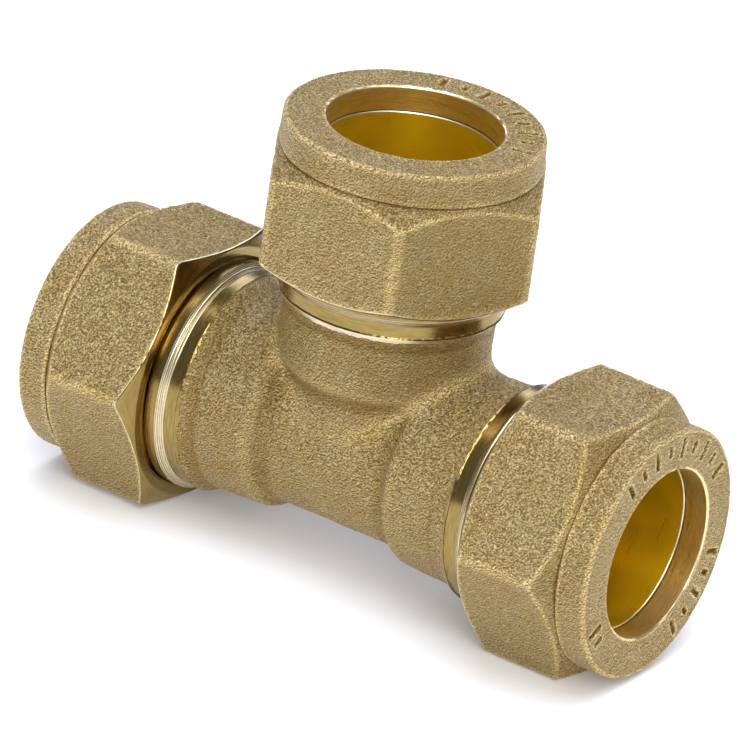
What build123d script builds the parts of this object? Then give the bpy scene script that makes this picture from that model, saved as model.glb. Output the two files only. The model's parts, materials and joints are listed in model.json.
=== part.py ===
"""Brass compression equal tee for 15 mm tube: forged body, three hexagon nuts, three olives.

Frame: millimetres, +Z up.  The origin is the point where the three port axes meet.
The run lies along X (left port at -X, right port at +X) and the branch rises along +Z.
Every port is drawn once about +Z, where z is the distance out from the origin along
the port's own axis, and then turned onto its port.
"""

import math
import os

from build123d import *

# ---------------------------------------------------------------- port layout
PORT_REACH = 29.8          # centre of the tee to the outer face of every nut
TUBE_D = 15.0              # tube the fitting is made for
SOCKET_D = TUBE_D + 0.2    # tube socket in the body
SOCKET_STOP = 9.5          # tube stop, distance from the centre
STOP_CHAMFER = 0.3
WATERWAY_D = 13.0          # passage through run and branch

# ---------------------------------------------------------------- tee body
CORE_R = 8.13              # run barrel between the two run bosses
NECK_R = 7.95              # neck under the branch boss
BARREL_LENGTH = 20.0       # barrel and neck reach into the bosses
NECK_LENGTH = 15.0
CROTCH_SPAN = 19.0         # length of run kept round the crotch
CROTCH_FILLET = 1.6        # blend where the neck stands on the run barrel
BOSS_R_INNER = 9.12        # forged boss, at its shoulder
BOSS_R_OUTER = 9.28        # forged boss, just before the flare (forging draft)
BOSS_FOOT = {"left": 6.0, "right": 6.4, "branch": 6.2}   # where a boss leaves barrel or neck
SHOULDER = 1.25            # length of the sloping shoulder
SHOULDER_EDGE = 0.25       # rounding where the shoulder meets the boss
FLARE_START = 12.3         # boss opens out towards the machined land
FLARE_END = 13.9
FLARE_R = 10.0
FLARE_POWER = 1.6          # how late the boss opens out
FLARE_STEPS = 5
FLARE_BREAK = 0.08         # rise from the flare's rim to the land
LAND_R = 9.85              # machined land between forging and thread
LAND_END = 15.1
RAMP_LENGTH = 0.65         # rise from the land to the thread's crest
CUT_SHIFT = {"left": 0.0, "right": 0.5, "branch": 0.0}   # machining depth, per port
THREAD_D = 20.8            # G 1/2 male thread, crest diameter
BODY_MOUTH = 22.1          # end of the male thread
MOUTH_CHAMFER = 0.8
SEAT_TOP_R = 8.5           # cone that receives the inner end of the olive
SEAT_HALF_ANGLE = 30.0

# ---------------------------------------------------------------- nut
NUT_OPEN = {"left": 17.0, "right": 17.0, "branch": 16.5}   # open (threaded) face of the nut
NUT_AF = 23.2              # across flats
NUT_CORNER_R = 1.0         # rounded forged corners
COLLAR_R = 11.4
COLLAR_H = 3.0
COLLAR_EDGE_R = 0.35
CORNER_CONE_START = 25.5   # where the corners start to be turned down to the collar
OPEN_CHAMFER_ANGLE = 30.0
OPEN_FACE_R = 11.45
NUT_HOLE_D = TUBE_D + 0.3
NUT_HOLE_BREAK = 0.15      # broken edge of the tube hole
NUT_WALL = 2.2             # length of the plain hole behind the outer face
NUT_RELIEF_R = 9.6         # turned recess between the cone and the thread
NUT_THREAD_D = 21.0        # nut bore over the thread
NUT_THREAD_END = 24.4
NUT_MOUTH_R = 10.65        # countersink at the open face
MARK_DEPTH = 0.28
MARK_RING_R = 9.7
MARK_WIDTH = 0.62
MARK_LONG = 1.7
MARK_SHORT = 1.0
# sunk marks on the outer face: (first angle, last angle, number) about the port axis
MARK_ARCS = {
    "left": ((28.0, 73.0, 5), (123.0, 217.0, 9), (298.0, 306.0, 2)),
    "right": ((28.0, 73.0, 5), (123.0, 217.0, 9), (298.0, 306.0, 2)),
    "branch": ((14.0, 110.0, 9),),
}

# ---------------------------------------------------------------- olive
OLIVE_BORE_D = TUBE_D + 0.1
OLIVE_BORE_BREAK = 0.1
OLIVE_INNER = 21.35        # end that sits in the body
OLIVE_OUTER = 27.4         # end that sits in the nut
OLIVE_END_R = 7.92
OLIVE_END_BEVEL = 0.15
OLIVE_CREST_R = 8.75
OLIVE_CREST_LAND = 1.6

# rest angle of a hexagon corner about each port axis, degrees
NUT_ANGLE = {"left": 32.4, "right": 31.8, "branch": 1.2}


def revolved(points):
    """Solid of revolution about Z from (radius, z) points."""
    with BuildPart() as bp:
        with BuildSketch(Plane.XZ):
            with BuildLine():
                Polyline(*points, close=True)
            make_face()
        revolve(axis=Axis.Z)
    return bp.part


def outer_profile(port, core_r):
    """(radius, z) outline of a port on the body from inside the barrel to the mouth."""
    foot = BOSS_FOOT[port]
    flare_end = FLARE_END + CUT_SHIFT[port]
    land_end = LAND_END + CUT_SHIFT[port]
    pts = [(0.0, 0.0), (core_r, 0.0), (core_r, foot)]
    slope = (BOSS_R_INNER - core_r) / SHOULDER
    for along, short in ((-1.0, 0.0), (-0.3, 0.08), (0.3, 0.02), (1.0, 0.0)):
        z = foot + SHOULDER + along * SHOULDER_EDGE
        r = BOSS_R_INNER + min(along, 0.0) * SHOULDER_EDGE * slope - short * SHOULDER_EDGE
        pts.append((r, z))
    pts.append((BOSS_R_OUTER, FLARE_START))
    for i in range(1, FLARE_STEPS + 1):
        t = i / FLARE_STEPS
        r = BOSS_R_OUTER + (FLARE_R - BOSS_R_OUTER) * t ** FLARE_POWER
        pts.append((r, FLARE_START + (flare_end - FLARE_START) * t))
    crest = THREAD_D / 2.0
    pts.append((LAND_R, flare_end + FLARE_BREAK))
    pts.append((LAND_R, land_end))
    pts.append((crest, land_end + RAMP_LENGTH))
    pts.append((crest, BODY_MOUTH - MOUTH_CHAMFER))
    pts.append((crest - MOUTH_CHAMFER, BODY_MOUTH))
    pts.append((0.0, BODY_MOUTH))
    return pts


def bore_profile():
    """(radius, z) outline of the waterway, tube socket and olive seat of one port."""
    socket_r = SOCKET_D / 2.0
    seat_len = (SEAT_TOP_R - socket_r) / math.tan(math.radians(SEAT_HALF_ANGLE))
    return [
        (0.0, 0.0),
        (WATERWAY_D / 2.0, 0.0),
        (WATERWAY_D / 2.0, SOCKET_STOP - STOP_CHAMFER),
        (WATERWAY_D / 2.0 + STOP_CHAMFER, SOCKET_STOP),
        (socket_r, SOCKET_STOP),
        (socket_r, BODY_MOUTH - seat_len),
        (SEAT_TOP_R, BODY_MOUTH),
        (SEAT_TOP_R, BODY_MOUTH + 1.0),
        (0.0, BODY_MOUTH + 1.0),
    ]


def to_port(shape, port):
    """Turn a shape drawn about +Z onto its port axis."""
    if port == "right":
        return Rotation(0, 90, 0) * shape
    if port == "left":
        return Rotation(0, -90, 0) * shape
    return shape


def make_body():
    """Forged tee with three machined, threaded ports."""
    neck = Pos(0, 0, NECK_LENGTH / 2.0) * Cylinder(NECK_R, NECK_LENGTH)
    barrel = Rotation(0, 90, 0) * Cylinder(CORE_R, BARREL_LENGTH)
    core = barrel + neck
    crotch = [
        e for e in core.edges()
        if e.geom_type != GeomType.LINE
        and e.geom_type != GeomType.CIRCLE
        and e.center().Z > 0
    ]
    core = fillet(crotch, CROTCH_FILLET)
    trim = Box(CROTCH_SPAN, 2.0 * PORT_REACH, 2.0 * PORT_REACH)
    solid = core & trim
    for port in ("left", "right"):
        solid = solid + to_port(revolved(outer_profile(port, CORE_R)), port)
    solid = solid + revolved(outer_profile("branch", NECK_R))
    for port in ("left", "right", "branch"):
        solid = solid - to_port(revolved(bore_profile()), port)
    return solid


def hexagon_blank(open_face):
    """Hexagonal bar of the nut with rounded corners, trimmed by the two cones."""
    height = PORT_REACH - open_face
    with BuildPart() as bp:
        with BuildSketch(Plane.XY.offset(open_face)):
            RegularPolygon(NUT_AF / 2.0, 6, major_radius=False)
        extrude(amount=height)
        upright = bp.edges().filter_by(Axis.Z)
        fillet(upright, NUT_CORNER_R)
    corner_r = (NUT_AF / 2.0 - NUT_CORNER_R) / math.cos(math.radians(30)) + NUT_CORNER_R
    collar_foot = PORT_REACH - COLLAR_H
    rise = (corner_r - OPEN_FACE_R) * math.tan(math.radians(OPEN_CHAMFER_ANGLE))
    envelope = revolved([
        (0.0, open_face),
        (OPEN_FACE_R, open_face),
        (corner_r + 0.02, open_face + rise),
        (corner_r + 0.02, CORNER_CONE_START),
        (COLLAR_R, collar_foot),
        (0.0, collar_foot),
    ])
    return bp.part & envelope


def nut_bore(open_face):
    """Everything turned out of the inside of the nut."""
    hole_r = NUT_HOLE_D / 2.0
    thread_r = NUT_THREAD_D / 2.0
    wall_end = PORT_REACH - NUT_WALL
    cone_end = wall_end - (NUT_RELIEF_R - hole_r)
    return revolved([
        (0.0, open_face - 1.0),
        (NUT_MOUTH_R, open_face - 1.0),
        (NUT_MOUTH_R, open_face),
        (thread_r, open_face + (NUT_MOUTH_R - thread_r)),
        (thread_r, NUT_THREAD_END - 0.6),
        (NUT_RELIEF_R, NUT_THREAD_END),
        (NUT_RELIEF_R, cone_end),
        (hole_r, wall_end),
        (hole_r, PORT_REACH - NUT_HOLE_BREAK),
        (hole_r + NUT_HOLE_BREAK, PORT_REACH),
        (hole_r + NUT_HOLE_BREAK, PORT_REACH + 1.0),
        (0.0, PORT_REACH + 1.0),
    ])


def face_marks(port):
    """Plain sunk bars round the outer face, alternately long and short."""
    cutters = []
    for start, end, count in MARK_ARCS[port]:
        for i in range(count):
            angle = start + (end - start) * i / (count - 1)
            length = MARK_LONG if i % 2 == 0 else MARK_SHORT
            bar = Pos(MARK_RING_R, 0, PORT_REACH) * Box(length, MARK_WIDTH, 2.0 * MARK_DEPTH)
            cutters.append(Rotation(0, 0, angle) * bar)
    return cutters


def make_nut(port):
    """Compression nut: hexagon, round collar, tube hole, cone and thread bore."""
    collar_foot = PORT_REACH - COLLAR_H
    collar = Pos(0, 0, collar_foot - 1.0 + (COLLAR_H + 1.0) / 2.0) * Cylinder(COLLAR_R, COLLAR_H + 1.0)
    collar = fillet(collar.edges().sort_by(Axis.Z)[-1], COLLAR_EDGE_R)
    solid = hexagon_blank(NUT_OPEN[port])
    solid = Rotation(0, 0, NUT_ANGLE[port]) * solid
    solid = solid + collar
    solid = solid - nut_bore(NUT_OPEN[port])
    for cutter in face_marks(port):
        solid = solid - cutter
    return to_port(solid, port)


def make_olive(port):
    """Brass sealing ring, thickest in the middle and tapered to both ends."""
    bore_r = OLIVE_BORE_D / 2.0
    mid = (OLIVE_INNER + OLIVE_OUTER) / 2.0
    half = OLIVE_CREST_LAND / 2.0
    ring = revolved([
        (bore_r + OLIVE_BORE_BREAK, OLIVE_INNER),
        (OLIVE_END_R - OLIVE_END_BEVEL, OLIVE_INNER),
        (OLIVE_END_R, OLIVE_INNER + OLIVE_END_BEVEL),
        (OLIVE_CREST_R - 0.06, mid - half),
        (OLIVE_CREST_R, mid - half + 0.25),
        (OLIVE_CREST_R, mid + half - 0.25),
        (OLIVE_CREST_R - 0.06, mid + half),
        (OLIVE_END_R, OLIVE_OUTER - OLIVE_END_BEVEL),
        (OLIVE_END_R - OLIVE_END_BEVEL, OLIVE_OUTER),
        (bore_r + OLIVE_BORE_BREAK, OLIVE_OUTER),
        (bore_r, OLIVE_OUTER - OLIVE_BORE_BREAK),
        (bore_r, OLIVE_INNER + OLIVE_BORE_BREAK),
    ])
    return to_port(ring, port)


os.makedirs("parts", exist_ok=True)
export_step(make_body(), "parts/tee_body.step")
for name in ("left", "right", "branch"):
    export_step(make_nut(name), "parts/nut_" + name + ".step")
    export_step(make_olive(name), "parts/olive_" + name + ".step")
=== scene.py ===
"""Brass compression tee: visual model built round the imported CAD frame.

Every port is drawn in millimetres about its own axis, with s the distance out from the
centre of the tee, and is then turned on to the left, right or branch port.
"""

import itertools
import json
import math

import bmesh
import bpy
import numpy as np
from mathutils import Matrix, Vector


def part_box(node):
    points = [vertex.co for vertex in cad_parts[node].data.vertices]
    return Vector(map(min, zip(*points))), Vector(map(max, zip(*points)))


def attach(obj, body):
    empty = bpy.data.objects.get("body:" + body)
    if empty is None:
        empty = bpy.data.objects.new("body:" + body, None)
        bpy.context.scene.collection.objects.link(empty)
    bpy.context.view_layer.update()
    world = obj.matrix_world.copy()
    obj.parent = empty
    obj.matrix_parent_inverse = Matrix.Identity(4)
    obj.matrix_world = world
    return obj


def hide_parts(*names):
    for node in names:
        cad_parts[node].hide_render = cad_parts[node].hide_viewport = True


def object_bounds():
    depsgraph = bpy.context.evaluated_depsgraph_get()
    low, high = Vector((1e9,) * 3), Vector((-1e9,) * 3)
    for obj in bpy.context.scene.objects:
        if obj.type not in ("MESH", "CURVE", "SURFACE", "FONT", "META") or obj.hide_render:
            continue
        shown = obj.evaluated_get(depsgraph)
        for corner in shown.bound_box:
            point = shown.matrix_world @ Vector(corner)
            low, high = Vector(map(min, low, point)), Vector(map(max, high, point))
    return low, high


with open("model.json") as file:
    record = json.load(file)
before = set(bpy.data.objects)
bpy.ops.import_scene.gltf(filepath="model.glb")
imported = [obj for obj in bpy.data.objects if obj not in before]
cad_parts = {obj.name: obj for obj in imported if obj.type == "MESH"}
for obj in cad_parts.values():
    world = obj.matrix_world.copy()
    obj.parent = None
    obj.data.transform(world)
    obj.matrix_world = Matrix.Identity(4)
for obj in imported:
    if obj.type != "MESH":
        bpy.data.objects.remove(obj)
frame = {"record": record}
cad_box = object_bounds()

MM = 0.001
PORTS = ("left", "right", "branch")

# ------------------------------------------------------------------ sizes read from the frame
nut_lo, nut_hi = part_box("nut_right")
body_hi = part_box("tee_body")[1]
olive_lo, olive_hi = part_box("olive_right")
branch_lo, branch_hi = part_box("nut_branch")

NUT_OPEN = {"left": nut_lo.x / MM, "right": nut_lo.x / MM, "branch": branch_lo.z / MM}
PORT_REACH = nut_hi.x / MM
BODY_MOUTH = body_hi.x / MM
THREAD_R = body_hi.y / MM
OLIVE_IN = olive_lo.x / MM
OLIVE_OUT = olive_hi.x / MM
OLIVE_R = olive_hi.y / MM
CORNER_R = branch_hi.x / MM
LEAD = frame["record"]["behaviour"]["couplings"][0]["ratio"] * 2.0 * math.pi / MM
SHY = 0.02                 # how far a visible surface stays behind the solid it stands for

# ------------------------------------------------------------------ nut (mm)
NUT_HALF_AF = 11.6
NUT_ROUND = 1.0            # rounding of the forged corners
COLLAR_R = 11.4
COLLAR_H = 3.0
COLLAR_DRAFT = 0.03        # the collar narrows by this much towards its outer face
COLLAR_EDGE = 0.35
FOOT_GROOVE = 0.17         # depth of the groove at the foot of the collar
CONE_HOLLOW = 0.10         # hollow of the corner cone between hexagon and collar
CONE_DROP = 1.84           # height of a hexagon corner over the collar
OPEN_FACE_R = 11.45
OPEN_SLOPE = math.tan(math.radians(30.0))
CORNER_CONE_START = 25.5
HOLE_R = 7.65
NUT_WALL = 2.3             # length of the plain hole behind the outer face
RELIEF_R = 9.6             # turned recess between the cone and the thread
NUT_THREAD_END = 24.4
MOUTH_R = 10.62            # countersink at the open face
NUT_ANGLE = {"left": 32.4, "right": 31.8, "branch": 1.2}   # of one hexagon corner, degrees
MARK_R = 9.7
MARK_DEPTH = 0.28
MARK_LONG = 1.7
MARK_SHORT = 1.0
MARK_FLANK = (0.15, 0.29)  # half width of a bar at its floor and at its brim
MARK_END = (-0.05, 0.09)   # where the floor and the brim end, past half the length
# sunk bars on the outer face: first angle, last angle and number, about the port axis
MARK_ARCS = {
    "left": ((28.0, 73.0, 5), (123.0, 217.0, 9), (298.0, 306.0, 2)),
    "right": ((28.0, 73.0, 5), (123.0, 217.0, 9), (298.0, 306.0, 2)),
    "branch": ((14.0, 110.0, 9),),
}

# ------------------------------------------------------------------ body (mm)
CORE_R = 8.13              # run barrel
NECK_R = 7.95              # neck under the branch boss
CROTCH_BLEND = 2.2
BOSS_IN = 9.12             # boss at its shoulder
BOSS_OUT = 9.28            # boss just before the flare
BOSS_FOOT = {"left": 6.0, "right": 6.4, "branch": 6.2}
BOSS_START = 7.6           # where the draft of the boss is counted from
SHOULDER = 1.25            # length of the sloping shoulder
SHOULDER_ROUND = 0.35      # rounding where the shoulder meets the boss
FOOT_ROUND = 0.45          # rounding where the shoulder meets the barrel
CUT_SHIFT = {"left": 0.0, "right": 0.5, "branch": 0.0}   # machining depth, per port
FLARE_START = 12.3
FLARE_END = 13.9
FLARE_R = 10.0
FLARE_POWER = 1.6          # how late the boss opens out
FLARE_OFFSET = 0.20        # how far the forging sits off the machining axis
RIM_CUT = 0.75             # greatest length of the cleaned-up rim behind the land
RIM_SLOPE = 0.36
# side to which every port's flare is heavier
FLARE_LEAN = {"left": (0.0, -0.7, -0.25), "right": (0.0, -0.6, -0.8), "branch": (0.35, -1.35, 0.0)}
LAND_R = 9.85              # machined land between the forging and the thread
LAND_END = 15.1
RAMP_LENGTH = 0.65         # rise from the land to the thread's crest
SOCKET_R = 7.6
SOCKET_STOP = 9.5
WATER_R = 6.5
SEAT_R = 8.5
SEAT_SLOPE = math.tan(math.radians(30.0))
THREAD_DEPTH = 1.05
THREAD_GAP = 0.12          # between the nut's thread and the body's
MOUTH_CHAMFER = 0.8

SEAM = 13.2                # where the forging mesh meets the machined end
INNER_SEAM = 7.4           # where the waterway crossing meets the sockets

# ------------------------------------------------------------------ olive (mm)
OLIVE_BORE_R = 7.55
OLIVE_END_R = 7.92

# ------------------------------------------------------------------ forged skin (mm)
# wavelength, seed and height of every wave in the relief
SKIN_WAVES = ((1.3, 11, 0.012), (0.7, 12, 0.011), (4.5, 13, 0.014), (0.46, 14, 0.008))
SKIN_LEVEL = 0.05          # mean depth of the skin behind the solid
SKIN_SHIFT = 40.0          # gives every port its own stretch of the relief


# ------------------------------------------------------------------ small helpers
def field(p, wavelength, seed, waves=26):
    """Smooth, repeatable random field over points p (mm), about -2..2."""
    rng = np.random.default_rng(seed)
    d = rng.normal(size=(waves, 3))
    d /= np.linalg.norm(d, axis=1, keepdims=True)
    k = 2.0 * np.pi / wavelength * rng.uniform(0.7, 1.35, (waves, 1))
    phase = rng.uniform(0.0, 2.0 * np.pi, waves)
    out = np.zeros(len(p))
    for i in range(waves):
        out += np.cos(p @ (d[i] * k[i]) + phase[i])
    return out * math.sqrt(2.0 / waves)


def soft_min(a, b, k):
    """Minimum of two arrays with the join rounded over a width k."""
    h = np.maximum(k - np.abs(a - b), 0.0) / np.maximum(k, 1e-9)
    return np.minimum(a, b) - h * h * k * 0.25


def soft_max(a, b, k):
    """Maximum of two arrays with the join rounded over a width k."""
    return -soft_min(-a, -b, k)


def smooth_step(a, b, x):
    """0 below a and 1 above b, with a smooth rise between them."""
    t = np.clip((x - a) / (b - a), 0.0, 1.0)
    return t * t * (3.0 - 2.0 * t)


def to_port(points, port):
    """Turn points drawn about +Z on to a port axis."""
    x, y, z = points[:, 0], points[:, 1], points[:, 2]
    if port == "right":
        return np.stack([z, y, -x], 1)
    if port == "left":
        return np.stack([-z, y, x], 1)
    return points


def link_object(name, data):
    """New object in the scene."""
    ob = bpy.data.objects.new(name, data)
    bpy.context.scene.collection.objects.link(ob)
    return ob


def mesh_object(name, verts_mm, faces, slots, turn, materials, wear_and_painted_light=None):
    """Mesh object from vertices in mm, quads, a material index per quad and a turning vector."""
    me = bpy.data.meshes.new(name)
    n, m = len(verts_mm), len(faces)
    me.vertices.add(n)
    me.vertices.foreach_set("co", (verts_mm * MM).astype(np.float32).ravel())
    me.loops.add(m * 4)
    me.loops.foreach_set("vertex_index", faces.astype(np.int32).ravel())
    me.polygons.add(m)
    me.polygons.foreach_set("loop_start", np.arange(0, 4 * m, 4, dtype=np.int32))
    for mat in materials:
        me.materials.append(mat)
    me.polygons.foreach_set("material_index", slots.astype(np.int32))
    me.polygons.foreach_set("use_smooth", np.ones(m, bool))
    me.update(calc_edges=True)
    me.validate()
    if turn is not None:
        at = me.attributes.new("turn", "FLOAT_VECTOR", "POINT")
        at.data.foreach_set("vector", turn.astype(np.float32).ravel())
    if wear_and_painted_light is not None:
        at = me.attributes.new("wear_and_painted_light", "FLOAT", "POINT")
        at.data.foreach_set("value", wear_and_painted_light.astype(np.float32))
    return link_object(name, me)


def edge_bend(pts, faces):
    """How sharply the surface turns at each vertex: positive on outside corners."""
    n = len(pts)
    a, b, c, d = (pts[faces[:, i]] for i in range(4))
    normal = np.zeros((n, 3))
    cross = np.cross(c - a, d - b)
    for i in range(4):
        for axis in range(3):
            normal[:, axis] += np.bincount(faces[:, i], cross[:, axis], n)
    normal /= np.maximum(np.linalg.norm(normal, axis=1, keepdims=True), 1e-12)
    start = np.concatenate([faces[:, i] for i in range(4)])
    end = np.concatenate([faces[:, (i + 1) % 4] for i in range(4)])
    here = np.concatenate([start, end])
    there = np.concatenate([end, start])
    delta = pts[here] - pts[there]
    shortest = 0.02
    bend = 2.0 * (normal[here] * delta).sum(1) / np.maximum((delta ** 2).sum(1), shortest)
    count = np.maximum(np.bincount(here, minlength=n), 1)
    value = np.bincount(here, bend, n) / count
    smoothing_rounds = 2
    for _ in range(smoothing_rounds):
        value = 0.5 * value + 0.5 * np.bincount(here, value[there], n) / count
    return value


class Lathe:
    """A closed or open strip of rings: each ring has a radius and a height for every angle.

    The clean radius and height are the same ring without its relief; the wear and the painted
    light and shade are found on them.
    Offsets of about 0.1 mm in the callers keep two rings close, so that an edge stays crisp.
    """

    def __init__(self, angles):
        """Start without rings; every ring will have a point at each of the angles."""
        self.angles = angles
        self.r = []
        self.s = []
        self.slot = []
        self.clean_r = []
        self.clean_s = []

    def ring(self, r, s, slot, clean_r=None, clean_s=None):
        """Add a ring; slot is the material of the faces between it and the next ring."""
        one = np.ones_like(self.angles)
        self.r.append(r * one)
        self.s.append(s * one)
        self.clean_r.append((r if clean_r is None else clean_r) * one)
        self.clean_s.append((s if clean_s is None else clean_s) * one)
        self.slot.append(slot * np.ones(len(one), int))

    def line(self, r0, s0, r1, s1, count, slot):
        """Rings evenly spaced on a straight line, both ends included."""
        for i in range(count + 1):
            t = i / count
            self.ring(r0 + (r1 - r0) * t, s0 + (s1 - s0) * t, slot)

    def build(self, name, port, materials, closed):
        """Join the rings into a mesh object on a port; closed joins the last to the first."""
        r = np.array(self.r)
        s = np.array(self.s)
        nk, nt = r.shape
        cosine = np.cos(self.angles)
        sine = np.sin(self.angles)
        pts = np.stack([r * cosine, r * sine, s], 2).reshape(-1, 3)
        step = np.hypot(np.diff(r, axis=0), np.diff(s, axis=0))
        arc = np.concatenate([np.zeros((1, nt)), np.cumsum(step, 0)]).mean(1)
        turn = np.stack([
            np.broadcast_to(cosine, (nk, nt)),
            np.broadcast_to(sine, (nk, nt)),
            np.broadcast_to(arc[:, None], (nk, nt)),
        ], 2).reshape(-1, 3)
        rows = np.arange(nk if closed else nk - 1)
        i = rows[:, None] * nt + np.arange(nt)[None]
        j = rows[:, None] * nt + (np.arange(nt)[None] + 1) % nt
        up = ((rows + 1) % nk)[:, None] * nt
        i2 = up + np.arange(nt)[None]
        j2 = up + (np.arange(nt)[None] + 1) % nt
        faces = np.stack([i, j, j2, i2], 2).reshape(-1, 4)
        slots = np.array(self.slot)[rows].ravel()
        clean_r = np.array(self.clean_r)
        clean_s = np.array(self.clean_s)
        clean = np.stack([clean_r * cosine, clean_r * sine, clean_s], 2).reshape(-1, 3)
        # the bend drives painted shade in creases and lighter outside corners, partly wear and
        # partly painted highlight
        outward = 1.0 if closed else -1.0
        wear_and_painted_light = edge_bend(clean, faces) * outward
        return mesh_object(name, to_port(pts, port), faces, slots, turn, materials, wear_and_painted_light)


# ------------------------------------------------------------------ materials
def node(nt, kind, x, y, **values):
    """Shader node at (x, y) with values for its inputs, named with _ for a space."""
    nd = nt.nodes.new("ShaderNode" + kind)
    nd.location = (x, y)
    for key, value in values.items():
        nd.inputs[key.replace("_", " ")].default_value = value
    return nd


def math_node(nt, kind, operation, x, y, inputs):
    """Math or VectorMath node with a dictionary of values for its numbered inputs."""
    nd = node(nt, kind, x, y)
    nd.operation = operation
    for index, value in inputs.items():
        nd.inputs[index].default_value = value
    return nd


def attribute(nt, name, x, y):
    """Node that reads one of the mesh's own attributes."""
    nd = node(nt, "Attribute", x, y)
    nd.attribute_name = name
    return nd


def multiplied(nt, x, y, first, second):
    """Colour output that is the product of two colour outputs."""
    nd = nt.nodes.new("ShaderNodeMix")
    nd.data_type = "RGBA"
    nd.blend_type = "MULTIPLY"
    nd.location = (x, y)
    nd.inputs["Factor"].default_value = 1.0
    nt.links.new(first, nd.inputs[6])
    nt.links.new(second, nd.inputs[7])
    return nd.outputs[2]


def ramp(nt, x, y, stops):
    """Colour ramp through (position, colour) stops."""
    nd = node(nt, "ValToRGB", x, y)
    el = nd.color_ramp.elements
    while len(el) < len(stops):
        el.new(0.5)
    for e, (pos, col) in zip(el, stops):
        e.position = pos
        e.color = (*col, 1.0)
    return nd


def new_material(name, color, metallic, roughness):
    """Plain material with its node tree and shader, for the caller to build on."""
    mat = bpy.data.materials.new(name)
    mat.use_nodes = True
    nt = mat.node_tree
    nt.nodes.clear()
    out = node(nt, "OutputMaterial", 900, 0)
    bsdf = node(nt, "BsdfPrincipled", 600, 0, Metallic=metallic, Roughness=roughness)
    bsdf.inputs["Base Color"].default_value = (*color, 1.0)
    nt.links.new(bsdf.outputs["BSDF"], out.inputs["Surface"])
    mat.diffuse_color = (*color, 1.0)
    return mat, nt, bsdf


GRAIN = {"Scale": 5600.0, "Detail": 3.0, "Roughness": 0.55}
GRAIN_WARP = 0.00035                        # metres that the grain is pushed about
PAINTED_SHADE_OFFSET = (0.00002, 0.000015, -0.00005)   # metres from a grain to the side where its painted shade falls
GRAIN_CONTRAST = 2.85
# strength and level of the painted light and shade on each grain
PAINTED_SHADE_CONTRAST = -2.3
PAINTED_SHADE_LEVEL = 0.225
# colours of the grain, with its painted light and shade
GRAIN_AND_PAINTED_SHADE_TONES = (
    (0.26, (0.200, 0.132, 0.042)),
    (0.50, (0.390, 0.282, 0.112)),
    (0.74, (0.720, 0.580, 0.310)),
)
PATCH_TINTS = (
    (0.32, (0.93, 0.87, 0.74)),
    (0.68, (1.0, 1.0, 1.0)),
)
WEAR_AND_LIGHT_RANGE = 1.1                            # wear and painted light from -1.1 to 1.1 runs over all the tints
# dark tint is painted shade in hollows and creases; bright tint lightens outside corners, partly
# as wear and partly as painted highlight
WEAR_AND_LIGHT_TINTS = (
    (0.22, (0.68, 0.565, 0.35)),
    (0.50, (1.0, 1.0, 1.0)),
    (0.80, (1.50, 1.54, 1.64)),
)
GRAIN_ROUGHNESS = (0.56, 0.34)              # in the hollows and on the tops
GRAIN_RELIEF = 0.00045
FINE_RELIEF = 0.00007


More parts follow.
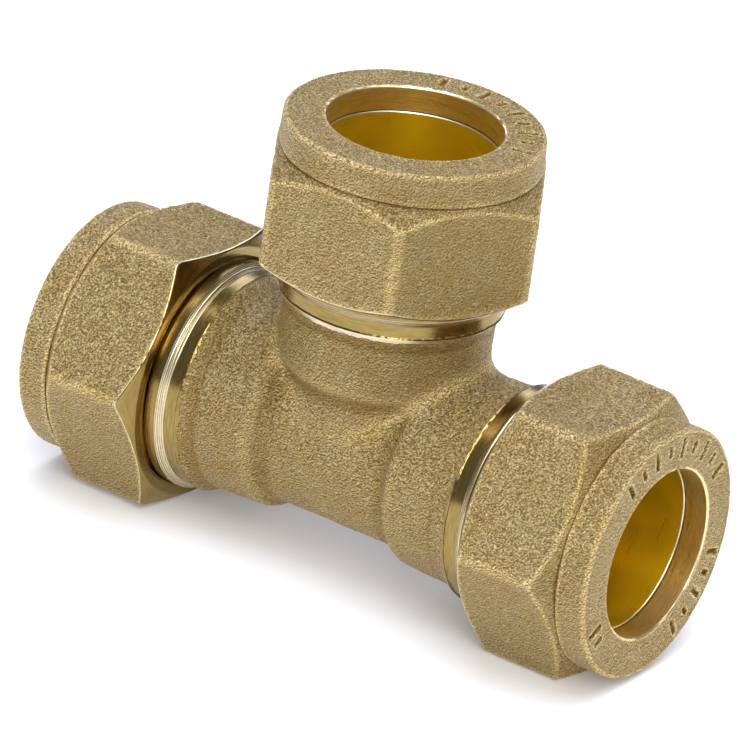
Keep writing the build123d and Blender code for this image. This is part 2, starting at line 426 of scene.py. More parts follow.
def forged_material():
    """Shot-blasted forging: close grain in relief with painted light and shade on each grain;
    outside corners lightened partly as wear and partly as painted highlight, and painted shade in
    the hollows.
    """
    mat, nt, bsdf = new_material("forged_brass_skin", (0.40, 0.29, 0.13), 0.92, 0.48)
    link = nt.links.new
    # a warped position breaks up the evenness of the grain
    place = node(nt, "TexCoord", -1700, 0).outputs["Object"]
    warp = node(nt, "TexNoise", -1500, 300, Scale=1500.0, Detail=1.0)
    link(place, warp.inputs["Vector"])
    shift = math_node(nt, "VectorMath", "MULTIPLY_ADD", -1350, 150, {1: (GRAIN_WARP,) * 3})
    link(warp.outputs["Color"], shift.inputs[0])
    link(place, shift.inputs[2])
    warped = shift.outputs["Vector"]
    # painted light and shade on the grain: the same grain seen a little to one side is taken away,
    # so each grain is painted light on one side and dark on the other
    grain = node(nt, "TexNoise", -1150, 300, **GRAIN)
    link(warped, grain.inputs["Vector"])
    beside = math_node(nt, "VectorMath", "ADD", -1250, 550, {1: PAINTED_SHADE_OFFSET})
    link(warped, beside.inputs[0])
    painted_shade_grain = node(nt, "TexNoise", -1150, 550, **GRAIN)
    link(beside.outputs["Vector"], painted_shade_grain.inputs["Vector"])
    side = math_node(nt, "Math", "MULTIPLY_ADD", -980, 480, {1: PAINTED_SHADE_CONTRAST, 2: PAINTED_SHADE_LEVEL})
    link(painted_shade_grain.outputs["Fac"], side.inputs[0])
    grain_and_painted_shade = math_node(nt, "Math", "MULTIPLY_ADD", -900, 400, {1: GRAIN_CONTRAST})
    link(grain.outputs["Fac"], grain_and_painted_shade.inputs[0])
    link(side.outputs["Value"], grain_and_painted_shade.inputs[2])
    tone = ramp(nt, -800, 400, GRAIN_AND_PAINTED_SHADE_TONES)
    link(grain_and_painted_shade.outputs["Value"], tone.inputs["Fac"])
    # broad patches of tarnish
    broad = node(nt, "TexNoise", -1150, -200, Scale=380.0, Detail=3.0, Roughness=0.6)
    link(place, broad.inputs["Vector"])
    patch = ramp(nt, -800, 100, PATCH_TINTS)
    link(broad.outputs["Fac"], patch.inputs["Fac"])
    # painted shade darkens the hollows; outside corners are lightened, partly as wear and partly
    # as painted highlight
    wear_and_light_attribute = attribute(nt, "wear_and_painted_light", -1150, -450)
    level = node(nt, "MapRange", -980, -450, From_Min=-WEAR_AND_LIGHT_RANGE, From_Max=WEAR_AND_LIGHT_RANGE)
    link(wear_and_light_attribute.outputs["Fac"], level.inputs["Value"])
    edge = ramp(nt, -800, -450, WEAR_AND_LIGHT_TINTS)
    link(level.outputs["Result"], edge.inputs["Fac"])
    skin = multiplied(nt, -450, 300, tone.outputs["Color"], patch.outputs["Color"])
    color = multiplied(nt, -200, 300, skin, edge.outputs["Color"])
    link(color, bsdf.inputs["Base Color"])
    rough = node(nt, "MapRange", -450, -50, To_Min=GRAIN_ROUGHNESS[0], To_Max=GRAIN_ROUGHNESS[1])
    link(grain.outputs["Fac"], rough.inputs["Value"])
    link(rough.outputs["Result"], bsdf.inputs["Roughness"])
    # relief of the grain, then of a finer one on top of it
    fine = node(nt, "TexNoise", -1150, 50, Scale=9500.0, Detail=1.0, Roughness=0.5)
    link(warped, fine.inputs["Vector"])
    coarse_bump = node(nt, "Bump", 0, -300, Strength=1.0, Distance=GRAIN_RELIEF)
    link(grain.outputs["Fac"], coarse_bump.inputs["Height"])
    fine_bump = node(nt, "Bump", 250, -300, Strength=1.0, Distance=FINE_RELIEF)
    link(fine.outputs["Fac"], fine_bump.inputs["Height"])
    link(coarse_bump.outputs["Normal"], fine_bump.inputs["Normal"])
    link(fine_bump.outputs["Normal"], bsdf.inputs["Normal"])
    return mat


TURN_STRETCH = (0.7, 0.7, 1.0)              # turning marks are long round the axis
GROOVE_DEPTH = 0.00003


def turned_material(name, color, roughness, groove, dark):
    """Machined brass with fine turning marks that run round the axis."""
    mat, nt, bsdf = new_material(name, color, 1.0, roughness)
    link = nt.links.new
    turn = attribute(nt, "turn", -1500, 0)
    stretch = math_node(nt, "VectorMath", "MULTIPLY", -1300, 0, {1: TURN_STRETCH})
    link(turn.outputs["Vector"], stretch.inputs[0])
    fine = node(nt, "TexNoise", -1000, 200, Scale=9.0, Detail=4.0, Roughness=0.7)
    wide = node(nt, "TexNoise", -1000, -100, Scale=1.6, Detail=2.0, Roughness=0.5)
    for noise in (fine, wide):
        link(stretch.outputs["Vector"], noise.inputs["Vector"])
    shade = tuple(c * dark for c in color)
    tone = ramp(nt, -600, 300, ((0.30, shade), (0.62, color)))
    link(fine.outputs["Fac"], tone.inputs["Fac"])
    link(tone.outputs["Color"], bsdf.inputs["Base Color"])
    rough = node(nt, "MapRange", -600, 0, To_Min=roughness * 0.7, To_Max=roughness * 1.5)
    link(wide.outputs["Fac"], rough.inputs["Value"])
    link(rough.outputs["Result"], bsdf.inputs["Roughness"])
    bump = node(nt, "Bump", 0, -200, Strength=groove, Distance=GROOVE_DEPTH)
    link(fine.outputs["Fac"], bump.inputs["Height"])
    link(bump.outputs["Normal"], bsdf.inputs["Normal"])
    return mat


FORGED = forged_material()
TURNED = turned_material("machined_brass", (0.37, 0.26, 0.085), 0.16, 0.35, 0.60)
BORED = turned_material("bored_brass", (0.97, 0.79, 0.44), 0.28, 0.55, 0.70)
SMOOTH = turned_material("drawn_brass", (0.92, 0.685, 0.024), 0.28, 0.0, 0.94)
SMOOTH.node_tree.nodes["Principled BSDF"].inputs["Metallic"].default_value = 0.93
# pale whitish brass: its colour is a painted glint on rims, burrs and tool marks
PAINTED_GLINT = turned_material("painted_glint_brass", (0.82, 0.71, 0.49), 0.28, 0.35, 0.62)
BODY_MATERIALS = (FORGED, TURNED, BORED, SMOOTH, PAINTED_GLINT)
F_SKIN, F_TURN, F_BORE, F_SMOOTH, F_PAINTED_GLINT = range(len(BODY_MATERIALS))


# ------------------------------------------------------------------ threads
def thread_wave(angles, s):
    """0 at the root and 1 at the crest of a rounded right-hand thread."""
    phase = (s - LEAD * angles / (2.0 * np.pi)) / LEAD
    phase = phase - np.floor(phase)
    flank = np.abs(phase * 2.0 - 1.0)
    return smooth_step(0.06, 0.94, flank)


# ------------------------------------------------------------------ nut
def hexagon_radius(angles):
    """Radius of the hexagon with rounded corners in each direction from a corner at 0."""
    a = (angles + math.pi / 6.0) % (math.pi / 3.0) - math.pi / 6.0
    d = (NUT_HALF_AF - NUT_ROUND) / math.cos(math.pi / 6.0)
    tangent = math.atan2(
        NUT_ROUND * math.sin(math.pi / 6.0),
        d + NUT_ROUND * math.cos(math.pi / 6.0),
    )
    flat = NUT_HALF_AF / np.cos(math.pi / 6.0 - np.abs(a))
    arc = d * np.cos(a) + np.sqrt(np.maximum(NUT_ROUND ** 2 - (d * np.sin(a)) ** 2, 0.0))
    return np.where(np.abs(a) < tangent, arc, flat)


def nut_angles(port):
    """Angles round the nut, packed closer at the corners of the hexagon."""
    per_corner = 84
    crowding = 0.22
    u = np.linspace(-0.5, 0.5, per_corner, endpoint=False)
    local = np.sign(u) * ((1.0 - crowding) * np.abs(u) + crowding * 2.0 * u * u) * (math.pi / 3.0)
    base = math.radians(NUT_ANGLE[port])
    return np.concatenate([base + k * math.pi / 3.0 + local for k in range(6)])


def mark_depth(angles, r, port):
    """Depth of the sunk bars on the outer face."""
    depth = np.zeros_like(angles)
    for start, end, count in MARK_ARCS[port]:
        for i in range(count):
            a0 = math.radians(start + (end - start) * i / (count - 1))
            half = (MARK_LONG if i % 2 == 0 else MARK_SHORT) / 2.0
            da = (angles - a0 + np.pi) % (2.0 * np.pi) - np.pi
            across = np.abs(np.sin(da) * r)
            along = np.abs(r * np.cos(da) - MARK_R)
            across = np.where(np.cos(da) < 0.0, NUT_HALF_AF, across)
            bar = 1.0 - smooth_step(*MARK_FLANK, across)
            bar = bar * (1.0 - smooth_step(half + MARK_END[0], half + MARK_END[1], along))
            depth = np.maximum(depth, bar)
    return depth * MARK_DEPTH


def skin_relief(pts):
    """Hammered relief of the forging, 0 at its highest and negative in the hollows (mm)."""
    height = sum(field(pts, wavelength, seed) * size for wavelength, seed, size in SKIN_WAVES)
    return np.minimum(height - SKIN_LEVEL, 0.0)


def nut_relief(ang, r, s, port):
    """Relief of a ring of a nut; each port has its own stretch of the forging's relief."""
    s = s + SKIN_SHIFT * PORTS.index(port) + np.zeros_like(ang)
    return skin_relief(np.stack([r * np.cos(ang), r * np.sin(ang), s], 1))


def make_nut(port):
    """Nut as one closed lathe: over the outside, in through the hole and back out the thread."""
    ang = nut_angles(port)
    hexa = hexagon_radius(ang - math.radians(NUT_ANGLE[port])) - 0.01
    foot = PORT_REACH - COLLAR_H
    open_s = NUT_OPEN[port]
    lt = Lathe(ang)
    cone_slope = (CORNER_R - COLLAR_R) / (foot - CORNER_CONE_START)

    def skin(r, s, rough=1.0):
        """Ring with the forging's relief."""
        lt.ring(r + nut_relief(ang, r, s, port) * rough, s, F_SKIN, r)

    # open end: turned chamfer, then the thin burr line where it breaks into the flats, with a
    # painted glint
    arc_lo = open_s + (hexa - OPEN_FACE_R) * OPEN_SLOPE
    arc_hi = foot - (hexa - COLLAR_R) / cone_slope - 0.18
    steps = 7
    for i in range(steps + 1):
        u = i / steps
        r = OPEN_FACE_R + (hexa - 0.10 - OPEN_FACE_R) * u
        lt.ring(r, open_s + (arc_lo - 0.06 - open_s) * u, F_TURN)
    lt.ring(hexa - 0.035, arc_lo + 0.03, F_PAINTED_GLINT)
    # flats, with their relief fading out at the chamfer
    rows = 46
    for i in range(rows + 1):
        u = i / rows
        skin(hexa, arc_lo + 0.12 + (arc_hi - arc_lo - 0.27) * u, min(1.0, 0.35 + i * 0.3))
    # corner cone down to the collar, with a rounded brow and a groove at its foot
    skin(hexa - 0.02, arc_hi - 0.06)
    low_s = arc_hi + 0.10
    low_r = hexa - 0.12 * cone_slope
    steps = 12
    for i in range(steps + 1):
        u = i / steps
        r = low_r + (COLLAR_R - low_r) * u
        hollow = CONE_HOLLOW * np.sin(np.pi * u) * (hexa - COLLAR_R) / CONE_DROP
        hollow = hollow + FOOT_GROOVE * u ** 2.5
        skin(r - hollow, low_s + (foot - low_s) * u)
    skin(COLLAR_R - 0.15, foot + 0.05)
    skin(COLLAR_R - 0.05, foot + 0.09)
    # collar
    side_top = PORT_REACH - COLLAR_EDGE
    steps = 15
    for i in range(1, steps + 1):
        u = i / steps
        skin(COLLAR_R - COLLAR_DRAFT * u, foot + 0.12 + (side_top - foot - 0.12) * u, 0.85)
    outer = COLLAR_R - COLLAR_DRAFT - COLLAR_EDGE
    steps = 6
    for i in range(1, steps + 1):
        a = math.radians(90.0 * i / steps)
        skin(outer + COLLAR_EDGE * math.cos(a), side_top + COLLAR_EDGE * math.sin(a) - 0.03, 0.6)
    # outer face with sunk bars
    inner = HOLE_R + 0.17
    rows = 30
    for i in range(1, rows + 1):
        r = outer + (inner - outer) * i / rows
        marks = mark_depth(ang, r, port)
        level = PORT_REACH - SHY + nut_relief(ang, r, PORT_REACH, port) * 0.6 - marks
        lt.ring(r, level, F_SKIN, r, PORT_REACH - SKIN_LEVEL - marks)
    # tube hole, cone, relief
    lt.slot[-1][:] = F_BORE
    lt.ring(HOLE_R + 0.05, PORT_REACH - 0.12, F_BORE)
    lt.line(HOLE_R, PORT_REACH - 0.20, HOLE_R, PORT_REACH - NUT_WALL + 0.05, 10, F_BORE)
    wall_end = PORT_REACH - NUT_WALL
    cone_end = wall_end - (RELIEF_R - HOLE_R)
    lt.line(HOLE_R + 0.04, wall_end, RELIEF_R, cone_end, 6, F_BORE)
    lt.line(RELIEF_R, cone_end - 0.05, RELIEF_R, NUT_THREAD_END, 3, F_BORE)
    # female thread, outer wall of the same helix as the body's
    rows = 40
    for i in range(rows + 1):
        s = NUT_THREAD_END - 0.1 + (open_s + 0.12 - NUT_THREAD_END + 0.1) * i / rows
        wave = thread_wave(ang, s)
        fade = float(smooth_step(0.0, 0.6, np.array(NUT_THREAD_END - s)))
        root = RELIEF_R + (THREAD_R + THREAD_GAP - RELIEF_R) * fade
        crest = THREAD_R - THREAD_DEPTH + THREAD_GAP
        r = np.minimum(root, crest + (root - crest) * wave)
        mouth = MOUTH_R - 0.02 + (open_s - s)
        lt.ring(np.maximum(r, mouth), s, F_BORE)
    lt.line(MOUTH_R - 0.02, open_s + 0.04, MOUTH_R + 0.02, open_s + 0.005, 1, F_TURN)
    # turned open face
    lt.line(MOUTH_R + 0.06, open_s, OPEN_FACE_R - 0.04, open_s, 7, F_TURN)
    ob = lt.build("nut_" + port + "_shell", port, BODY_MATERIALS, closed=True)
    ob.data.flip_normals()
    return ob


# ------------------------------------------------------------------ machined port ends of the body
def flare_radius(s, lean=0.0):
    """Radius of the forged boss and its flare; lean is the share of FLARE_OFFSET on that side."""
    s = np.asarray(s, float)
    u = np.clip((s - FLARE_START) / (FLARE_END - FLARE_START), 0.0, 1.5)
    along = np.clip((s - BOSS_START) / (FLARE_START - BOSS_START), -0.5, 1.0)
    draft = BOSS_IN + (BOSS_OUT - BOSS_IN) * along
    return draft + (FLARE_R - BOSS_OUT + FLARE_OFFSET * lean) * u ** FLARE_POWER


def make_port_end(port):
    """Flare, land, ramp, thread, seat and socket of one port."""
    ang = np.linspace(0.0, 2.0 * np.pi, 480, endpoint=False)
    off = CUT_SHIFT[port]
    end = FLARE_END + off
    land_end = LAND_END + off
    thread_start = land_end + RAMP_LENGTH
    circle = np.stack([np.cos(ang), np.sin(ang), np.zeros_like(ang)], 1)
    lean = to_port(circle, port) @ np.array(FLARE_LEAN[port])
    seed = 40 + PORTS.index(port)
    around = circle * (FLARE_R - 0.1)
    # the forged edge wanders along the cut, and the tool tears small bits out of it
    ragged = field(around, 6.0, seed) * 0.04 + field(around, 0.9, seed + 5) * 0.022
    tear = np.maximum(field(around, 0.55, seed + 9), 0.0) * 0.02
    lt = Lathe(ang)

    def skin(s, sink=0.0):
        """Ring of the flare, with its rim cleaned up by the cutter near the land; on the branch
        that rim has a painted glint.
        """
        raw = flare_radius(s - off * smooth_step(FLARE_START, FLARE_END, s), lean)
        pts = np.stack([raw * np.cos(ang), raw * np.sin(ang), s * np.ones_like(ang)], 1)
        raw = raw + skin_relief(to_port(pts, port)) + 0.5 * ragged * max(s - SEAM, 0.0)
        rim = FLARE_R - SHY - RIM_SLOPE * (end - s) if s > end - RIM_CUT else FLARE_R + 1.0
        slot = np.where(raw > rim, F_PAINTED_GLINT if port == "branch" else F_TURN, F_SKIN)
        lt.ring(np.minimum(raw, rim) - sink, s, slot)

    # forged flare up to the cut, starting a little way inside the forging
    skin(SEAM - 0.30, 0.06)
    skin(SEAM - 0.12, 0.02)
    rows = int((end - SEAM) / 0.065)
    for i in range(rows + 1):
        skin(SEAM + (end - SEAM) * i / rows)
    lt.slot[-1][:] = F_TURN
    lt.ring(np.minimum(lt.r[-1], FLARE_R) - 0.02, end + 0.03 + tear, F_TURN)
    lt.ring(LAND_R + 0.03 + tear, end + 0.06, F_TURN)
    lt.line(LAND_R, end + 0.12, LAND_R, land_end - 0.10, 7, F_TURN)
    lt.ring(LAND_R, land_end, F_TURN)
    # ramp up to the thread with its tool marks; two rows in three have a painted glint
    rise = THREAD_R - LAND_R - SHY
    rows = 14
    for i in range(1, rows + 1):
        u = i / rows
        mark = 0.012 * math.sin(i * 2.6) if i < rows else SHY
        slot = F_TURN if i % 3 == 0 else F_PAINTED_GLINT
        lt.ring(LAND_R + rise * u + mark, land_end + RAMP_LENGTH * u, slot)
    # male thread with its run-out
    top = BODY_MOUTH - MOUTH_CHAMFER
    rows = 62
    for i in range(rows + 1):
        s = thread_start + 0.06 + (BODY_MOUTH - 0.06 - thread_start) * i / rows
        wave = thread_wave(ang, s)
        runout = smooth_step(0.9, 2.2, np.array(s - thread_start))
        crest = min(THREAD_R - SHY, THREAD_R - max(0.0, s - top))
        r = crest - THREAD_DEPTH * (1.0 - wave) * float(runout)
        lt.ring(np.maximum(r, SEAT_R + 0.12), s, F_TURN)
    # mouth, seat, tube socket with its stop, and the start of the waterway
    lt.line(SEAT_R + 0.10, BODY_MOUTH, SEAT_R + 0.02, BODY_MOUTH, 1, F_TURN)
    seat_end = BODY_MOUTH - (SEAT_R - SOCKET_R) / SEAT_SLOPE
    lt.line(SEAT_R - 0.02, BODY_MOUTH - 0.04, SOCKET_R, seat_end, 5, F_SMOOTH)
    lt.line(SOCKET_R, seat_end - 0.05, SOCKET_R, SOCKET_STOP + 0.05, 12, F_SMOOTH)
    lt.line(SOCKET_R - 0.04, SOCKET_STOP, WATER_R + 0.32, SOCKET_STOP, 3, F_BORE)
    lt.ring(WATER_R, SOCKET_STOP - 0.32, F_BORE)
    lt.line(WATER_R, SOCKET_STOP - 0.4, WATER_R, INNER_SEAM + 0.02, 5, F_BORE)
    lt.ring(WATER_R + 0.06, INNER_SEAM - 0.15, F_BORE)
    return lt.build("port_end_" + port, port, BODY_MATERIALS, closed=False)


# ------------------------------------------------------------------ olive
def make_olive(port):
    """Sealing ring; both halves of its outline are the same, run forwards and backwards."""
    lt = Lathe(np.linspace(0.0, 2.0 * np.pi, 240, endpoint=False))
    lt.line(OLIVE_BORE_R, OLIVE_OUT - 0.16, OLIVE_BORE_R, OLIVE_IN + 0.16, 8, F_SMOOTH)
    # rounded end, as steps out from the bore and in from the end
    nose = ((0.0, 0.12), (0.03, 0.04), (0.08, 0.0), (0.16, 0.0), (0.21, 0.03), (0.37, 0.26))
    for dr, ds in nose:
        lt.ring(OLIVE_BORE_R + dr, OLIVE_IN + ds, F_SMOOTH)
    lt.slot[-1][:] = F_TURN
    # taper up to the crest, as steps in from the end and out from its radius
    taper = ((0.35, 0.0), (2.0, 0.74), (2.3, 0.815), (2.6, OLIVE_R - OLIVE_END_R))
    for ds, dr in taper:
        lt.ring(OLIVE_END_R + dr, OLIVE_IN + ds, F_TURN)
    for ds, dr in reversed(taper):
        lt.ring(OLIVE_END_R + dr, OLIVE_OUT - ds, F_TURN)
    # the nose at the outer end has a painted glint
    for dr, ds in reversed(nose):
        lt.ring(OLIVE_BORE_R + dr, OLIVE_OUT - ds, F_PAINTED_GLINT)
    return lt.build("olive_" + port + "_ring", port, BODY_MATERIALS, closed=True)


# ------------------------------------------------------------------ forging as a blended solid
def boss_field(x, r, foot, core, lean):
    """Distance-like value for a barrel with a sloping-shouldered boss; negative inside."""
    high = BOSS_IN - core
    length = math.hypot(SHOULDER, high)
    slope = ((r - core) * SHOULDER - (x - foot) * high) / length
    side = r - flare_radius(x, lean)
    boss = soft_max(side, slope, SHOULDER_ROUND)
    return soft_min(r - core, boss, FOOT_ROUND)


def forging_parts(p):
    """The run, the branch and the width of the blend between them."""
    x, y, z = p[:, 0], p[:, 1], p[:, 2]
    rx = np.maximum(np.sqrt(y * y + z * z), 1e-6)
    rz = np.maximum(np.sqrt(x * x + y * y), 1e-6)

    def port(name, s, r, core):
        """One port's barrel and boss."""
        lean = p @ np.array(FLARE_LEAN[name]) / np.maximum(r, 4.0)
        late = CUT_SHIFT[name] * smooth_step(FLARE_START, FLARE_END, s)
        return boss_field(s - late, r, BOSS_FOOT[name], core, lean)

    run = np.where(x < 0.0, port("left", -x, rx, CORE_R), port("right", x, rx, CORE_R))
    branch = np.maximum(port("branch", z, rz, NECK_R), -z)
    sideways = y * y / (rx * rz)
    blend = CROTCH_BLEND * np.clip(1.0 - sideways * sideways, 0.0, 1.0)
    return run, branch, np.maximum(blend, 0.05)


def forging(p):
    """Distance-like value for the whole forging; negative inside."""
    return soft_min(*forging_parts(p))


def waterway(p):
    """Distance-like value for the crossing of the two passages; negative inside."""
    x, y, z = p[:, 0], p[:, 1], p[:, 2]
    rx = np.sqrt(y * y + z * z)
    rz = np.sqrt(x * x + y * y)
    branch = np.maximum(rz - WATER_R, -z)
    sideways = y * y / np.maximum(rx * rz, 1e-6)
    blend = np.maximum(0.35 * (1.0 - sideways * sideways), 0.02)
    return soft_min(rx - WATER_R, branch, blend)


def settle(f, pts, h):
    """Points moved on to f = 0 by steps of at most half of h, and their unit normals."""
    rounds = 6
    reach = 0.01
    for _ in range(rounds):
        level = f(pts)
        grad = np.zeros_like(pts)
        for d in range(3):
            step = np.zeros(3)
            step[d] = reach
            grad[:, d] = (f(pts + step) - f(pts - step)) / (2.0 * reach)
        steepness = np.maximum((grad ** 2).sum(1), 0.05)
        move = -(level / steepness)[:, None] * grad
        size = np.linalg.norm(move, axis=1, keepdims=True)
        move *= np.minimum(1.0, 0.5 * h / np.maximum(size, 1e-9))
        pts = pts + move
    return pts, grad / np.maximum(np.linalg.norm(grad, axis=1, keepdims=True), 1e-9)


def corner_values(grid, corner):
    """Values of a grid at one corner, such as (0, 1, 0), of every cell."""
    return grid[tuple(slice(c, c + n - 1) for c, n in zip(corner, grid.shape))]


def cell_points(value, inside):
    """The cells crossed by the surface, and the middle of each one's edge crossings."""
    cells_per_axis = [n - 1 for n in value.shape]
    total = np.zeros((*cells_per_axis, 3))
    count = np.zeros(cells_per_axis)
    edges = [
        (corner, axis) for corner in itertools.product((0, 1), repeat=3)
        for axis in range(3) if corner[axis] == 0
    ]
    for corner, axis in edges:
        other = list(corner)
        other[axis] = 1
        here, there = corner_values(value, corner), corner_values(value, other)
        cross = corner_values(inside, corner) != corner_values(inside, other)
        t = np.where(cross, here / np.where(cross, here - there, 1.0), 0.0)
        for d in range(3):
            total[..., d] += np.where(cross, corner[d] + (t if d == axis else 0.0), 0.0)
        count += cross
    cells = np.nonzero(count)
    return cells, total[cells] / count[cells][:, None]


def cell_faces(inside, index):
    """Quads that join the four cells round every crossed grid edge, facing outwards."""
    faces = []
    for axis in range(3):
        u, w = [d for d in range(3) if d != axis]
        low = [slice(1, -1)] * 3
        high = [slice(1, -1)] * 3
        low[axis] = slice(0, -1)
        high[axis] = slice(1, None)
        start, end = inside[tuple(low)], inside[tuple(high)]
        edge = np.array(np.nonzero(start != end)).T
        enters = start[tuple(edge.T)]
        edge[:, u] += 1
        edge[:, w] += 1
        quad = []
        for du, dw in ((0, 0), (1, 0), (1, 1), (0, 1)):
            cell = edge.copy()
            cell[:, u] -= du
            cell[:, w] -= dw
            quad.append(index[tuple(cell.T)])
        quad = np.stack(quad, 1)
        keep = enters if axis != 1 else ~enters
        quad[~keep] = quad[~keep][:, ::-1]
        faces.append(quad)
    faces = np.concatenate(faces)
    return faces[(faces >= 0).all(1)]


def surface_nets(f, lo, hi, h):
    """Quad mesh of f = 0 on a grid of step h: its points, faces and unit normals."""
    axes = [np.arange(a, b + h, h) for a, b in zip(lo, hi)]
    grid = np.stack(np.meshgrid(*axes, indexing="ij"), -1)
    value = f(grid.reshape(-1, 3)).reshape(grid.shape[:3])
    inside = value < 0.0
    cells, middle = cell_points(value, inside)
    index = -np.ones([n - 1 for n in value.shape], int)
    index[cells] = np.arange(len(middle))
    pts = np.stack([axes[d][cells[d]] + middle[:, d] * h for d in range(3)], 1)
    pts, normals = settle(f, pts, h)
    return pts, cell_faces(inside, index), normals


def cut_open(ob, cuts):
    """Cut a mesh along planes given as (axis, position in mm) and drop what lies outside."""
    bm = bmesh.new()
    bm.from_mesh(ob.data)
    for axis, pos in cuts:
        normal = Vector((0, 0, 0))
        normal[axis] = 1.0 if pos > 0 else -1.0
        point = Vector((0, 0, 0))
        point[axis] = pos * MM
        bmesh.ops.bisect_plane(
            bm, geom=bm.verts[:] + bm.edges[:] + bm.faces[:], dist=1e-7,
            plane_co=point, plane_no=normal, clear_outer=True,
        )
    bm.to_mesh(ob.data)
    bm.free()


def forging_wear_and_painted_light(pts):
    """Wear and painted light of the forging: outside corners lightened partly as wear and partly
    as painted highlight, painted shade in the hollows, and a painted highlight along the branch's
    root.
    """
    step = 0.22
    root_width = 0.75
    run, branch = forging_parts(pts)[:2]
    on_run = run < branch
    bend = -6.0 * np.where(on_run, run, branch)
    for axis in range(3):
        for sign in (-step, step):
            near = pts.copy()
            near[:, axis] += sign
            near_run, near_branch = forging_parts(near)[:2]
            bend += np.where(on_run, near_run, near_branch)
    wear_and_painted_light = 0.3 * bend / step ** 2 - 0.04
    # hollows get stronger painted shade than corners get lightening
    wear_and_painted_light = np.where(wear_and_painted_light < 0.0, 1.7 * wear_and_painted_light, wear_and_painted_light)
    # painted highlight along the fillet at the branch's root
    x, y, z = pts[:, 0], pts[:, 1], pts[:, 2]
    sideways = y ** 2 / np.maximum(np.hypot(y, z) * np.hypot(x, y), 1e-6)
    root = np.exp(-((run - branch) / root_width) ** 2) * (1.0 - sideways ** 4) * (z > 0)
    return wear_and_painted_light + 0.85 * root


def make_forging():
    """The forging between the three seams, with its relief."""
    pts, faces, normals = surface_nets(forging, (-14.0, -10.6, -10.6), (14.0, 10.6, 14.0), 0.185)
    # wear with painted shade in hollows and painted highlights on corners and along the branch's
    # root
    wear_and_painted_light = forging_wear_and_painted_light(pts)
    pts = pts + normals * skin_relief(pts)[:, None]
    slots = np.zeros(len(faces))
    ob = mesh_object("tee_forging", pts, faces, slots, None, (FORGED,), wear_and_painted_light)
    cut_open(ob, ((0, SEAM), (0, -SEAM), (2, SEAM)))
    return ob


def make_waterway():
    """The crossing of the two passages, facing inwards."""
    pts, faces, _ = surface_nets(waterway, (-8.4, -7.4, -7.4), (8.4, 7.4, 8.4), 0.3)
    turn = np.stack([pts[:, 1] / 7.0, pts[:, 2] / 7.0, pts[:, 0]], 1)
    slots = np.zeros(len(faces))
    ob = mesh_object("tee_waterway", pts, faces[:, ::-1], slots, turn, (BORED,))
    cut_open(ob, ((0, INNER_SEAM), (0, -INNER_SEAM), (2, INNER_SEAM)))
    return ob


def sharpen(ob):
    """Keep edges crisp where faces meet at more than a few tens of degrees."""
    ob.data.set_sharp_from_angle(angle=math.radians(28.0))


for ob in (make_forging(), make_waterway()):
    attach(ob, "tee")
    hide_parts("tee_body")
for port in PORTS:
    end = make_port_end(port)
    sharpen(end)
    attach(end, "tee")
    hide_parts("tee_body")
    nut = make_nut(port)
    sharpen(nut)
    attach(nut, "nut_" + port)
    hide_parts("nut_" + port)
    olive = make_olive(port)
    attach(olive, "olive_" + port)
    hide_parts("olive_" + port)


# ------------------------------------------------------------------ stage, light, camera
FLOOR_HALF = 3.0
FLOOR_GREY = 0.76
FLOOR_GLOW = 0.16
WORLD_STRENGTH = 0.25
LIGHT_AIM = Vector((0.0, 0.0, 8.0)) * MM

CAM_POSITION = Vector((380.05, -625.2, 343.55)) * MM
CAM_AZIMUTH = math.radians(31.3122)     # from -Y towards +X
CAM_ELEVATION = math.radians(24.8073)
CAM_ROLL = math.radians(7.9339)
CAM_LENS = 449.2
CAM_SHIFT = (-0.0029, 0.0066)


def make_floor():
    """Pale, faintly glowing floor under the fitting."""
    me = bpy.data.meshes.new("floor")
    z = cad_box[0].z
    corners = ((-1, -1), (1, -1), (1, 1), (-1, 1))
    me.from_pydata([(FLOOR_HALF * x, FLOOR_HALF * y, z) for x, y in corners], [], [(0, 1, 2, 3)])
    mat, _, bsdf = new_material("pale_floor", (FLOOR_GREY,) * 3, 0.0, 0.7)
    bsdf.inputs["Emission Color"].default_value = (1.0, 1.0, 1.0, 1.0)
    bsdf.inputs["Emission Strength"].default_value = FLOOR_GLOW
    me.materials.append(mat)
    ob = link_object("floor", me)


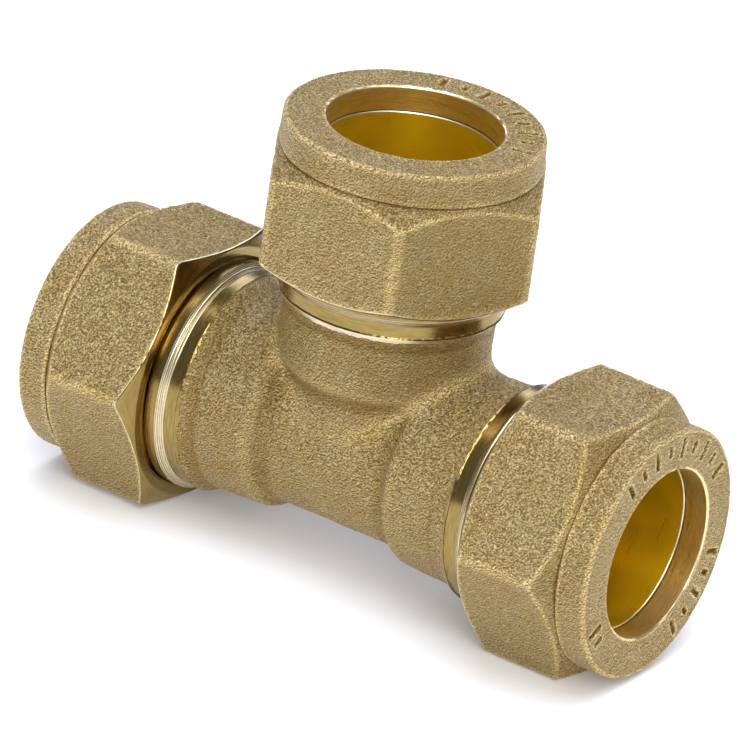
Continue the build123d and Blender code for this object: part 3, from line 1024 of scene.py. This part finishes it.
def area_light(name, azimuth, elevation, distance, size, power, color=(1, 1, 1)):
    """Soft box aimed at the middle of the fitting."""
    li = bpy.data.lights.new(name, "AREA")
    li.shape = "RECTANGLE"
    li.size, li.size_y = size
    li.energy = power
    li.color = color
    az, el = math.radians(azimuth), math.radians(elevation)
    away = Vector((math.sin(az) * math.cos(el), -math.cos(az) * math.cos(el), math.sin(el)))
    ob = link_object(name, li)
    ob.location = away * distance + LIGHT_AIM
    ob.rotation_euler = (-away).to_track_quat("-Z", "Y").to_euler()


def make_world():
    """Dim, even white surroundings."""
    world = bpy.data.worlds.new("studio")
    bpy.context.scene.world = world
    world.use_nodes = True
    background = world.node_tree.nodes["Background"]
    background.inputs["Color"].default_value = (1.0, 1.0, 1.0, 1.0)
    background.inputs["Strength"].default_value = WORLD_STRENGTH


def make_camera():
    """Long lens that looks down on the fitting, rolled a little about its line of sight."""
    data = bpy.data.cameras.new("camera")
    data.sensor_width = 36.0
    data.lens = CAM_LENS
    data.shift_x, data.shift_y = CAM_SHIFT
    data.clip_start = 0.01
    data.clip_end = 20.0
    sin_az, cos_az = math.sin(CAM_AZIMUTH), math.cos(CAM_AZIMUTH)
    sin_el, cos_el = math.sin(CAM_ELEVATION), math.cos(CAM_ELEVATION)
    forward = Vector((-sin_az * cos_el, cos_az * cos_el, -sin_el))
    level = Vector((cos_az, sin_az, 0.0))
    above = level.cross(forward)
    right = level * math.cos(CAM_ROLL) + above * math.sin(CAM_ROLL)
    up = above * math.cos(CAM_ROLL) - level * math.sin(CAM_ROLL)
    turn = Matrix((right, up, -forward)).transposed()
    camera = link_object("camera", data)
    camera.matrix_world = Matrix.LocRotScale(CAM_POSITION, turn, None)
    bpy.context.scene.camera = camera


make_floor()
area_light("front_box", 36.0, 36.0, 0.90, (0.45, 0.45), 4.9)
area_light("top_box", 40.0, 80.0, 0.85, (0.80, 0.80), 9.8, (0.96, 1.0, 1.10))
area_light("back_box", 211.0, 34.0, 0.90, (0.70, 0.40), 1.9, (0.90, 1.0, 1.35))
make_world()
make_camera()
bpy.context.scene.view_settings.view_transform = "Standard"
